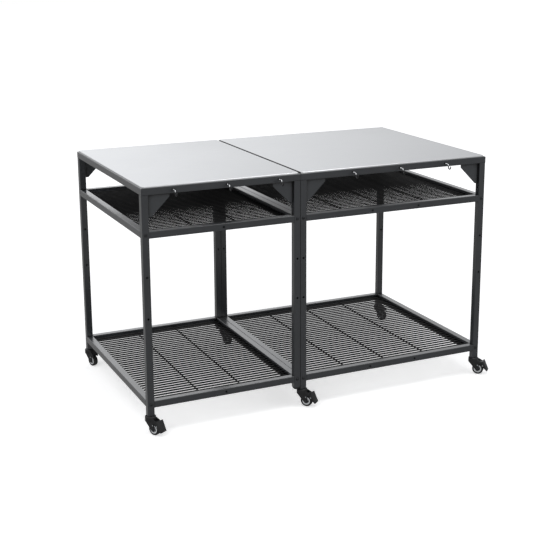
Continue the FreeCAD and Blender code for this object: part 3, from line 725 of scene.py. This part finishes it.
@dataclass
class Grille:
    """Round wires from side to side on rods that run front to back, heavier on the lower shelves.

    The wires' thicknesses are the ones that give each shelf the photograph's mix of dark and light.
    """

    module: Module
    shelf: Shelf
    wires: dict[Shelf, float] = field(default_factory=lambda: {Shelf.UPPER: 5.3, Shelf.LOWER: 6.5})
    pitch: float = 22.0
    rod: float = 5.5
    rod_pitch: dict[Module, float] = field(default_factory=lambda: {Module.LEFT: 165.0, Module.RIGHT: 180.0})
    rod_count: dict[Module, int] = field(default_factory=lambda: {Module.LEFT: 2, Module.RIGHT: 3})
    end_rod_inset: float = 8.0
    end_gap: float = 1.0
    edge_margin: float = 11.0
    ledge: float = 3.0
    seat_gap: float = 0.1
    weld_bite: float = 0.4
    sides: int = 12

    def build(self) -> list[Piece]:
        """Lay the wires and the rods.

        Returns:
            The grille, which replaces the CAD node.
        """
        bm = bmesh.new()
        wire = self.wires[self.shelf]
        depth = BACK_FACE - FRONT_FACE
        gaps = math.floor((depth - 2 * (TUBE + self.edge_margin)) / self.pitch)
        rod_z = self.shelf.value - TUBE / 2 + self.ledge + self.seat_gap + self.rod / 2
        wire_z = rod_z + (self.rod + wire) / 2 - self.weld_bite
        end = TUBE + self.end_gap + wire / 2 * WireBender.END_RISE
        for i in range(gaps + 1):
            y = (FRONT_FACE + BACK_FACE) / 2 + (i - gaps / 2) * self.pitch
            start = Vector((self.module.start + end, y, wire_z))
            bender = WireBender(bm, start, ACROSS, wire / 2, self.sides)
            bender.run(self.module.width - 2 * end).close(1.0)
        last = self.module.width / 2 - TUBE - self.end_rod_inset
        count = self.rod_count[self.module]
        inner = [(i - (count - 1) / 2) * self.rod_pitch[self.module] for i in range(count)]
        for offset in (-last, *inner, last):
            start = Vector((self.module.middle + offset, FRONT_FACE + end, rod_z))
            bender = WireBender(bm, start, BACKWARD, self.rod / 2, self.sides)
            bender.run(depth - 2 * end).close(1.0)
        level = self.shelf.name.lower()
        grille = make_object(f"{self.module.label}_{level}_wires", bm, WIRE_PAINT)
        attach(grille, "table")
        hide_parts(f"{self.module.label}_{level}_grille")
        return [grille]


@dataclass
class ToolHooks:
    """Plated wire hooks in the front rail, each locked by a black nut and dipped in vinyl below its bend.

    The middle one stands to the right of the module's middle, by offset.
    """

    module: Module
    wire: float = 3.6
    pitch: float = 200.0
    offset: float = 15.0
    count: int = 3
    tail: float = 8.0
    shank: float = 16.0
    bend: float = 6.0
    bowl: float = 8.0
    drop: float = 3.0
    tip: float = 2.5
    vinyl: float = 0.3
    thread_end: float = 10.0
    thread_pitch: float = 1.0
    thread_depth: float = 0.5
    washer_radius: float = 4.5
    washer_width: float = 0.8
    nut_flats: float = 7.0
    nut_width: float = 3.2
    nut_ease: float = 0.5
    nut_crown: float = 0.88
    sides: int = 16
    crease: float = 40.0
    nut_crease: float = 25.0

    def bend_wire(self, wires: Mesh, coats: Mesh, seat: Vector) -> None:
        """Bend one hook and the vinyl skin over its lower half.

        Args:
            wires: the mesh that the wire is added to.
            coats: the mesh that the skin is added to.
            seat: the middle of the hook's hole, on the rail's front face.
        """
        wire = WireBender(wires, seat - BACKWARD * self.thread_end, -BACKWARD, self.wire / 2, self.sides)
        wire.run(self.shank - self.thread_end).turn(self.bend, 90, ACROSS, steps=8)
        skin = WireBender(coats, wire.at, wire.heading, self.wire / 2 + self.vinyl, self.sides)
        for strand in (wire, skin):
            strand.run(self.drop).turn(self.bowl, -180, ACROSS, steps=18).run(self.tip).close(1.0)

    def cut_thread(self, wires: Mesh, place: Matrix) -> None:
        """Turn the threaded part, from inside the rail to where the plain wire starts.

        Args:
            wires: the mesh to add to.
            place: the matrix from the hook's seat, with its z outwards, in millimetres, to metres.
        """
        crest = self.wire / 2
        root = crest - self.thread_depth
        outline = [(0.0, -self.tail), (root, -self.tail)]
        for i in range(round((self.tail + self.thread_end) / self.thread_pitch)):
            low = i * self.thread_pitch - self.tail
            outline += [(crest, low + self.thread_pitch / 2), (root, low + self.thread_pitch)]
        lathe(wires, outline + [(0.0, self.thread_end)], place, steps=24)

    def lock(self, seats: Mesh, place: Matrix) -> None:
        """Turn the washer and the nut that hold one hook.

        Args:
            seats: the mesh to add to.
            place: the matrix from the hook's seat, with its z outwards, in millimetres, to metres.
        """
        bore = self.wire / 2
        face = self.washer_width
        top = face + self.nut_width
        corner = self.nut_flats / math.sqrt(3)
        washer = [(bore, 0.0), (self.washer_radius, 0.0), (self.washer_radius, face), (bore, face)]
        lathe(seats, washer, place, steps=32)
        nut = [(bore, face), (corner, face), (corner, top - self.nut_ease), (corner * self.nut_crown, top),
               (bore, top)]
        lathe(seats, nut, place, steps=6)

    def build(self) -> list[Piece]:
        """Bend the hooks and set them in the rail.

        Returns:
            The hooks, which replace the CAD node, their vinyl skins and their nuts.
        """
        wires, coats, seats = bmesh.new(), bmesh.new(), bmesh.new()
        for i in range(self.count):
            x = self.module.middle + self.offset + (i - (self.count - 1) / 2) * self.pitch
            seat = Vector((x, FRONT_FACE, FRAME_TOP - TUBE / 2))
            place = TO_METRES @ Matrix.Translation(seat) @ Matrix.Rotation(math.radians(90), 4, ACROSS)
            self.bend_wire(wires, coats, seat)
            self.lock(seats, place)
            self.cut_thread(wires, place)
        hooks = make_object(f"{self.module.label}_hooks", wires, HOOK_CHROME, self.crease)
        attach(hooks, "table")
        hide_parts(f"{self.module.label}_tool_hooks")
        skins = make_object(f"{self.module.label}_hook_vinyl", coats, HOOK_VINYL, self.crease)
        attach(skins, "table")
        nuts = make_object(f"{self.module.label}_hook_nuts", seats, BLACK_OXIDE, self.nut_crease)
        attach(nuts, "table")
        return [hooks, skins, nuts]


@dataclass
class ShelfBolts:
    """Button-head bolts through the legs into the shelves' side rails."""

    head_radius: float = 5.5
    head_height: float = 3.3
    rim: float = 0.9
    crown_land: float = 0.35
    dome_steps: int = 5
    shank_radius: float = 3.0
    shank_length: float = 39.0
    socket_flats: float = 4.0
    socket_depth: float = 1.8
    socket_ease: float = 0.15
    socket_taper: float = 0.94
    socket_point: float = 0.4

    def turn_bolt(self, bm: Mesh, place: Matrix) -> None:
        """Turn one bolt: a domed head over the seat and a plain shank below it.

        Args:
            bm: the mesh to add to.
            place: the matrix from the bolt's own frame, in millimetres, to metres.
        """
        socket = self.socket_flats / math.sqrt(3)
        crown = socket + self.crown_land
        dome = []
        for i in range(self.dome_steps + 1):
            angle = math.radians(90 * i / self.dome_steps)
            radius = crown + (self.head_radius - crown) * math.cos(angle)
            dome.append((radius, self.rim + (self.head_height - self.rim) * math.sin(angle)))
        floor = self.head_height - self.socket_depth
        lathe(bm, [
            (0.0, -self.shank_length),
            (self.shank_radius, -self.shank_length),
            (self.shank_radius, 0.0),
            (self.head_radius, 0.0),
            *dome,
            (socket, self.head_height - self.socket_ease),
            (socket * self.socket_taper, floor),
            (0.0, floor - self.socket_point),
        ], place, steps=24)

    def build(self) -> list[Piece]:
        """Set all the bolts.

        Returns:
            The bolts, which replace the CAD node.
        """
        bm = bmesh.new()
        for module in Module:
            for x in (module.start + TUBE / 2, module.end - TUBE / 2):
                for shelf in Shelf:
                    for y, outward in ((FRONT_FACE, -BACKWARD), (BACK_FACE, BACKWARD)):
                        turn = UP.rotation_difference(outward).to_matrix().to_4x4()
                        at = Matrix.Translation(Vector((x, y, shelf.value)))
                        self.turn_bolt(bm, TO_METRES @ at @ turn)
        bolts = make_object("shelf_button_bolts", bm, BLACK_OXIDE)
        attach(bolts, "table")
        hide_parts("shelf_bolts")
        return [bolts]


class Axis(Enum):
    """What a caster turns about, by the first word of its joints' names."""

    SWIVEL = "swivel"
    ROLL = "roll"
    BRAKE = "brake"


# Domed heads from rim to crown, as shares of the head's radius and height
STUD_DOME = ((1.0, 0.0), (1.0, 0.35), (0.75, 0.85), (0.0, 1.0))
RIVET_DOME = ((1.0, 0.0), (1.0, 0.4), (0.8, 0.85), (0.4, 1.0), (0.0, 1.0))


@dataclass
class Caster:
    """A swivel caster: moulded fork, rubber tyre on a pale hub, riveted axle and, in front, a brake pedal.

    A spot in its side view is how far behind the swivel axis and how high over the floor it lies.
    """

    name: str
    wheel_radius: float = 22.5
    wheel_width: float = 18.0
    shoulder: float = 3.2
    shoulder_steps: int = 5
    tyre_bore: float = 15.5
    hub_gap: float = 0.05
    rim_width: float = 17.0
    hub_ease: float = 0.5
    hub_fillet: float = 1.0
    hub_dish: float = 11.5
    dish_draft: float = 0.2
    hub_web: float = 6.0
    hub_boss: float = 5.5
    boss_draft: float = 0.4
    hub_boss_length: float = 19.6
    cover_gap: float = 0.1
    cover_thickness: float = 1.0
    cover_ease: float = 0.3
    axle_radius: float = 3.0
    axle_gap: float = 0.08
    fork_width: float = 26.0
    fork_round: float = 0.6
    rivet_radius: float = 4.5
    rivet_height: float = 1.2
    pivot_radius: float = 1.8
    pivot_rivet: float = 3.6
    stud_radius: float = 2.6
    stud_height: float = 0.9
    fork_stud: tuple[float, float] = (20.0, 38.0)
    pedal_stud: tuple[float, float] = (41.0, 39.0)
    pedal_width: float = 32.0
    pedal_round: float = 0.5
    pedal_top: tuple[float, float] = (43.5, 58.5)
    pedal_tip: tuple[float, float] = (60.5, 18.5)
    rib_count: int = 6
    rib_length: float = 25.0
    rib_width: float = 1.6
    rib_height: float = 0.7
    rib_round: float = 0.42
    rib_start: float = 6.0
    rib_pitch: float = 4.5

    def joint(self, axis: Axis) -> dict | None:
        """This caster's packed joint about an axis, or None where it has none."""
        return next((j for j in frame["joints"] if j["name"] == f"{axis.value}_{self.name}"), None)

    @property
    def braked(self) -> bool:
        """Whether this caster has a brake pedal."""
        return self.joint(Axis.BRAKE) is not None

    def place(self, axis: Axis) -> Matrix:
        """The matrix from a frame with its z along a joint's axis to the row frame.

        Args:
            axis: the joint's axis.

        Returns:
            The matrix, from millimetres to metres.
        """
        joint = self.joint(axis)
        turn = UP.rotation_difference(Vector(joint["axis"])).to_matrix().to_4x4()
        return Matrix.Translation(Vector(joint["pos_m"])) @ turn @ TO_METRES

    def foot(self) -> Vector:
        """The point on the floor under the swivel axis, in millimetres."""
        swivel = Vector(self.joint(Axis.SWIVEL)["pos_m"]) / MM
        return Vector((swivel.x, swivel.y, 0.0))

    def headings(self) -> tuple[Vector, Vector]:
        """Read which way the caster stands.

        Returns:
            The level direction in which the wheel trails, and the axle's direction.
        """
        roll = self.joint(Axis.ROLL)
        axle = Vector(roll["pos_m"]) / MM
        trail = Vector((axle.x, axle.y, 0.0)) - self.foot()
        return trail.normalized(), Vector(roll["axis"]).normalized()

    def tyre(self) -> Piece:
        """Mould the tyre: a flat tread between round shoulders.

        Returns:
            The tyre, which replaces the CAD node.
        """
        half = self.wheel_width / 2
        side = [(self.tyre_bore, -half)]
        for i in range(self.shoulder_steps + 1):
            angle = math.radians(90 * i / self.shoulder_steps)
            side.append((self.wheel_radius - self.shoulder * (1 - math.sin(angle)),
                         -half + self.shoulder * (1 - math.cos(angle))))
        other = [(radius, -height) for radius, height in reversed(side)]
        bm = bmesh.new()
        lathe(bm, [*side, (self.wheel_radius, 0.0), *other, side[0]], self.place(Axis.ROLL), steps=64)
        piece = make_object(f"{self.name}_tyre_ring", bm, TYRE_RUBBER)
        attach(piece, f"wheel_{self.name}")
        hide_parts(f"caster_{self.name}_tyre")
        return piece

    def hub(self) -> Piece:
        """Mould the hub: a rim, a dished web and a boss on the axle.

        Returns:
            The hub, which replaces the CAD node.
        """
        rim = self.rim_width / 2
        web = self.hub_web / 2
        boss = self.hub_boss_length / 2
        outer = self.tyre_bore - self.hub_gap
        side = [
            (self.axle_radius + self.axle_gap, boss),
            (self.hub_boss - self.hub_ease, boss),
            (self.hub_boss, boss - self.hub_ease),
            (self.hub_boss + self.boss_draft, web + self.hub_fillet),
            (self.hub_boss + self.boss_draft + self.hub_fillet, web),
            (self.hub_dish - self.dish_draft - self.hub_fillet, web),
            (self.hub_dish - self.dish_draft, web + self.hub_fillet),
            (self.hub_dish, rim - self.hub_ease),
            (self.hub_dish + self.hub_ease, rim),
            (outer - self.hub_ease, rim),
            (outer, rim - self.hub_ease),
        ]
        other = [(radius, -height) for radius, height in reversed(side)]
        bm = bmesh.new()
        lathe(bm, [*side, *other, side[0]], self.place(Axis.ROLL), steps=64)
        piece = make_object(f"{self.name}_hub_disc", bm, HUB_NYLON)
        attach(piece, f"wheel_{self.name}")
        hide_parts(f"caster_{self.name}_hub")
        return piece

    def covers(self) -> Piece:
        """Press a black cover into the dish on each side of the hub.

        Returns:
            The two covers as one piece.
        """
        web = self.hub_web / 2
        top = web + self.cover_thickness
        ease = self.cover_ease
        inner = self.hub_boss + self.boss_draft + self.hub_fillet + self.cover_gap
        outer = self.hub_dish - self.dish_draft - self.hub_fillet - self.cover_gap
        ring = [(inner, web), (outer, web), (outer, top - ease), (outer - ease, top), (inner + ease, top),
                (inner, top - ease), (inner, web)]
        bm = bmesh.new()
        lathe(bm, ring, self.place(Axis.ROLL))
        lathe(bm, [(radius, -height) for radius, height in ring], self.place(Axis.ROLL))
        piece = make_object(f"{self.name}_hub_covers", bm, SHELL_NYLON)
        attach(piece, f"wheel_{self.name}")
        return piece

    def rivet(self, bm: Mesh, axis: Axis, radius: float, head: float) -> None:
        """Turn a pin with a rounded rivet head at each end.

        Args:
            bm: the mesh to add to.
            axis: the axis that the pin lies on.
            radius: the pin's radius in millimetres.
            head: the heads' radius in millimetres.
        """
        half = self.fork_width / 2
        side = [(radius, half), *((head * out, half + self.rivet_height * rise) for out, rise in RIVET_DOME)]
        lathe(bm, [(r, -h) for r, h in reversed(side)] + side, self.place(axis), steps=32)

    def axle(self) -> Piece:
        """Turn the axle and, on a braked caster, the pedal's pin.

        Returns:
            The pins, which replace the CAD node.
        """
        bm = bmesh.new()
        self.rivet(bm, Axis.ROLL, self.axle_radius, self.rivet_radius)
        if self.braked:
            self.rivet(bm, Axis.BRAKE, self.pivot_radius, self.pivot_rivet)
        piece = make_object(f"{self.name}_rivets", bm, BLACK_OXIDE)
        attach(piece, f"fork_{self.name}")
        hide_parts(f"caster_{self.name}_axle")
        return piece

    def studs(self, name: str, spot: tuple[float, float], half: float, body: str) -> Piece:
        """Set a plated stud head on both outer faces, at a spot in the caster's side view.

        Args:
            name: the piece's last words.
            spot: the spot, in millimetres.
            half: half the width between the two faces.
            body: the body that the heads ride on.

        Returns:
            The two heads as one piece.
        """
        trail, across = self.headings()
        dome = [(0.0, 0.0), *((self.stud_radius * out, self.stud_height * rise) for out, rise in STUD_DOME)]
        bm = bmesh.new()
        for side in (-1.0, 1.0):
            at = self.foot() + trail * spot[0] + UP * spot[1] + across * side * half
            turn = UP.rotation_difference(across * side).to_matrix().to_4x4()
            lathe(bm, dome, TO_METRES @ Matrix.Translation(at) @ turn, steps=24)
        piece = make_object(f"{self.name}_{name}", bm, ZINC_PLATE)
        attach(piece, body)
        return piece

    def grip(self) -> Piece:
        """Mould the ribs across the pedal's sloping face, which keep a shoe from slipping.

        Returns:
            The ribs as one piece.
        """
        trail, across = self.headings()
        top, tip = (trail * out + UP * rise for out, rise in (self.pedal_top, self.pedal_tip))
        down = (tip - top).normalized()
        outward = down.cross(across)
        if outward.z < 0:
            outward.negate()
        turn = Matrix((across, down, outward)).transposed().to_4x4()
        size = Matrix.Diagonal((self.rib_length, self.rib_width, 2 * self.rib_height, 1.0))
        bm = bmesh.new()
        for i in range(self.rib_count):
            at = Matrix.Translation(self.foot() + top + down * (self.rib_start + i * self.rib_pitch))
            bmesh.ops.create_cube(bm, size=1.0, matrix=TO_METRES @ at @ turn @ size)
        round_edges(bm, bm.edges[:], self.rib_round, segments=3, clamp=False)
        piece = make_object(f"{self.name}_pedal_ribs", bm, SHELL_NYLON)
        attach(piece, f"brake_{self.name}")
        return piece

    def build(self) -> list[Piece]:
        """Make all of this caster's pieces.

        Returns:
            The pieces, in order.
        """
        pieces = [self.tyre(), self.hub(), self.covers(), self.axle()]
        fork, brake = f"fork_{self.name}", f"brake_{self.name}"
        pieces.append(self.studs("fork_studs", self.fork_stud, self.fork_width / 2, fork))
        node = f"caster_{self.name}_fork"
        shell = soft_copy(node, f"{self.name}_fork_shell", SHELL_NYLON, self.fork_round)
        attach(shell, fork)
        pieces.append(shell)
        if self.braked:
            node = f"caster_{self.name}_brake_pedal"
            pedal = soft_copy(node, f"{self.name}_pedal", SHELL_NYLON, self.pedal_round)
            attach(pedal, brake)
            studs = self.studs("pedal_studs", self.pedal_stud, self.pedal_width / 2, brake)
            pieces += [pedal, studs, self.grip()]
        return pieces


# Stage


@dataclass(frozen=True)
class SoftBox:
    """A square soft box: its place and side in metres, its power in watts, and whether metal mirrors it."""

    name: str
    at: tuple[float, float, float]
    side: float
    power: float
    mirrored: bool = False

    def hang(self, aim: Vector) -> None:
        """Hang the lamp.

        Args:
            aim: the point it faces, in metres.
        """
        data = bpy.data.lights.new(self.name, "AREA")
        data.shape = "SQUARE"
        data.size = self.side
        data.energy = self.power
        lamp = bpy.data.objects.new(self.name, data)
        bpy.context.scene.collection.objects.link(lamp)
        lamp.location = Vector(self.at)
        lamp.visible_glossy = self.mirrored
        lamp.rotation_euler = (aim - lamp.location).to_track_quat("-Z", "Y").to_euler()


# A large key from the left, a weaker fill from the right and a small one over the front edge, for its glints
SOFT_BOXES = (
    SoftBox("key_box", (-3.4, -1.8, 3.2), 5.0, 95.0),
    SoftBox("fill_box", (3.4, -1.6, 2.6), 4.4, 25.0),
    SoftBox("edge_box", (0.6, -0.85, 2.5), 0.8, 10.0, mirrored=True),
)


@dataclass
class Studio:
    """The photograph's camera, a pale floor and soft light from a tent.

    The tent is white to the camera. As light it has the strength of sky. In reflections it is brightest
    ahead on the left, where it has mirror_left, and falls off to mirror_right and mirror_round. right_fade
    and left_fade say where by a direction's x. Towards the front left_fade is moved by behind_shift, and
    behind_fade says where that sets in by a direction's y.
    """

    camera_at: tuple[float, float, float] = (-1899.9, -4032.1, 1696.9)
    azimuth: float = 25.786
    elevation: float = 13.715
    focal_mm: float = 75.347
    sensor_mm: float = 36.0
    shift: tuple[float, float] = (-0.03819, -0.09091)
    sight: float = 100.0
    aim: tuple[float, float, float] = (0.0, 0.0, 0.5)
    sky: float = 0.62
    sky_tint: str = "#fcfdff"
    mirror_left: float = 1.33
    mirror_right: float = 0.66
    mirror_round: float = 0.88
    right_fade: tuple[float, float] = (0.2, 0.62)
    left_fade: tuple[float, float] = (-0.45, 0.0)
    behind_fade: tuple[float, float] = (-0.2, 0.2)
    behind_shift: float = 0.35
    floor_colour: str = "#f1f1f1"
    floor_size: float = 60.0
    floor_fade: tuple[float, float] = (1.2, 4.0)
    floor_lift: tuple[float, float] = (0.46, 0.6)
    floor_gloss: float = 0.3

    def camera(self) -> None:
        """Set the camera at the photograph's viewpoint."""
        data = bpy.data.cameras.new("photo_camera")
        data.sensor_width = self.sensor_mm
        data.lens = self.focal_mm
        data.shift_x, data.shift_y = self.shift
        data.clip_end = self.sight
        camera = bpy.data.objects.new("photo_camera", data)
        bpy.context.scene.collection.objects.link(camera)
        camera.location = Vector(self.camera_at) * MM
        azimuth, elevation = math.radians(self.azimuth), math.radians(self.elevation)
        level = math.cos(elevation)
        ahead = Vector((math.sin(azimuth) * level, math.cos(azimuth) * level, -math.sin(elevation)))
        camera.rotation_euler = ahead.to_track_quat("-Z", "Y").to_euler()
        bpy.context.scene.camera = camera

    def floor_paint(self) -> bpy.types.Material:
        """Mix the floor's paint: pale and matt, lifted to white for the camera and dim in reflections.

        Returns:
            The material.
        """
        material = bpy.data.materials.new("pale_floor")
        material.use_nodes = True
        tree = material.node_tree
        tree.nodes.clear()
        near, far = self.floor_fade
        low, high = self.floor_lift
        matt = add(tree, "BsdfDiffuse", {"Color": linear(self.floor_colour)}).outputs[0]
        place = add(tree, "TexCoord").outputs["Object"]
        away = add(tree, "VectorMath", {"operation": "LENGTH"}, {0: place})
        strength = add(tree, "MapRange", {"From Min": near, "From Max": far, "To Min": low, "To Max": high},
                       {"Value": away.outputs["Value"]})
        lift = add(tree, "Emission", {"Color": linear(WHITE)}, {"Strength": strength.outputs["Result"]})
        dim = add(tree, "Emission", {"Color": linear(WHITE), "Strength": self.floor_gloss}).outputs[0]
        rays = add(tree, "LightPath").outputs
        lifted = add(tree, "AddShader", links={0: matt, 1: lift.outputs[0]}).outputs[0]
        seen = add(tree, "MixShader", links={0: rays["Is Camera Ray"], 1: matt, 2: lifted}).outputs[0]
        mixed = add(tree, "MixShader", links={0: rays["Is Glossy Ray"], 1: seen, 2: dim}).outputs[0]
        add(tree, "OutputMaterial", links={"Surface": mixed})
        return material

    def floor(self) -> None:
        """Lay the pale floor, white to the camera apart from the object's shadow."""
        bm = bmesh.new()
        bmesh.ops.create_grid(bm, x_segments=1, y_segments=1, size=self.floor_size / 2)
        mesh = bpy.data.meshes.new("studio_floor")
        bm.to_mesh(mesh)
        bm.free()
        mesh.materials.append(self.floor_paint())
        floor = bpy.data.objects.new("studio_floor", mesh)
        bpy.context.scene.collection.objects.link(floor)

    def mirrored_tent(self, tree: Tree) -> Socket:
        """Work out how bright the tent is in reflections, by their direction.

        Args:
            tree: the world's node tree.

        Returns:
            The strength's socket.
        """
        way = add(tree, "SeparateXYZ", links={0: add(tree, "TexCoord").outputs["Generated"]}).outputs
        start, end = self.right_fade
        right = add(tree, "MapRange", {"From Min": start, "From Max": end, "To Min": self.mirror_left,
                                       "To Max": self.mirror_right}, {"Value": way["X"]}).outputs[0]
        start, end = self.behind_fade
        behind = add(tree, "MapRange", {"From Min": start, "From Max": end, "To Min": self.behind_shift,
                                        "To Max": 0.0}, {"Value": way["Y"]}).outputs[0]
        turned = add(tree, "Math", {"operation": "SUBTRACT"}, {0: way["X"], 1: behind}).outputs[0]
        start, end = self.left_fade
        left = add(tree, "MapRange", {"From Min": start, "From Max": end, "To Min": self.mirror_round,
                                      "To Max": self.mirror_left}, {"Value": turned}).outputs[0]
        return add(tree, "Math", {"operation": "MINIMUM"}, {0: right, 1: left}).outputs[0]

    def world(self) -> None:
        """Fill the tent: white to the camera, dimmer as light, and in reflections by direction."""
        world = bpy.data.worlds.new("studio_tent")
        bpy.context.scene.world = world
        world.use_nodes = True
        tree = world.node_tree
        tree.nodes.clear()
        first, second = MIX_NUMBERS
        rays = add(tree, "LightPath").outputs
        gloss = add(tree, "Math", {"operation": "MAXIMUM"},
                    {0: rays["Is Glossy Ray"], 1: rays["Is Transmission Ray"]})
        lit = add(tree, "Mix", {"data_type": "FLOAT", first: self.sky},
                  {MIX_FACTOR: gloss.outputs[0], second: self.mirrored_tent(tree)})
        shown = add(tree, "Mix", {"data_type": "FLOAT", second: 1.0},
                    {MIX_FACTOR: rays["Is Camera Ray"], first: lit.outputs[0]})
        first, second = MIX_COLOURS
        tint = add(tree, "Mix", {"data_type": "RGBA", first: linear(self.sky_tint), second: linear(WHITE)},
                   {MIX_FACTOR: rays["Is Camera Ray"]})
        sky = add(tree, "Background", links={"Color": tint.outputs[2], "Strength": shown.outputs[0]})
        add(tree, "OutputWorld", links={"Surface": sky.outputs[0]})

    def build(self) -> None:
        """Set up the whole studio."""
        self.camera()
        self.floor()
        self.world()
        for box in SOFT_BOXES:
            box.hang(Vector(self.aim))
        bpy.context.scene.view_settings.view_transform = "Standard"


def main() -> None:
    """Dress the CAD nodes, build the finer pieces and set up the studio."""
    logging.basicConfig(level=logging.INFO, format="%(name)s: %(message)s")
    dress_nodes()
    makers = []
    for module in Module:
        makers += [Worktop(module), *(Grille(module, shelf) for shelf in Shelf), ToolHooks(module)]
    makers.append(ShelfBolts())
    prefix = f"{Axis.SWIVEL.value}_"
    swivels = [joint["name"] for joint in frame["joints"] if joint["name"].startswith(prefix)]
    makers += [Caster(name.removeprefix(prefix)) for name in swivels]
    for maker in makers:
        for piece in maker.build():
            log.info("%s: %d faces", piece.name, len(piece.data.polygons))
    Studio().build()
    bpy.context.view_layer.update()


if __name__ == "__main__":
    main()
